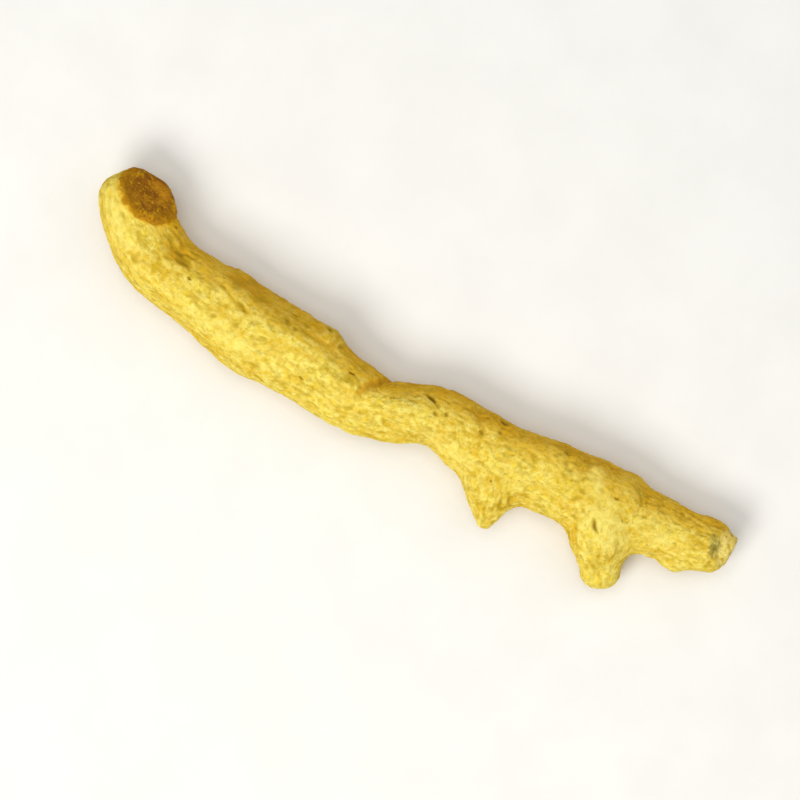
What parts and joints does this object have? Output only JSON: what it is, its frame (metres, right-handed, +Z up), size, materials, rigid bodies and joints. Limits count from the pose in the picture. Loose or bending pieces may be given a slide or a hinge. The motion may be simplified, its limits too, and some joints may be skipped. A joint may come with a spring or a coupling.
{
  "type": "dried turmeric finger",
  "caption": "Dried turmeric rhizome lying on its side, two swollen lengths joined at a waist, with a pointed bud, a blunt bud and a scar at each end.",
  "frame": {"origin": "on the surface it rests on, under the middle of its bounding box", "axes": "+X along its length, from the scar where it broke off the mother rhizome to its growing end; side buds point to -Y; +Z up"},
  "size_m": [0.1028, 0.0199, 0.0112],
  "materials": {
    "dried_skin": null
  },
  "bodies": {
    "root": {"turmeric_rhizome": "dried_skin"}
  },
  "joints": []
}
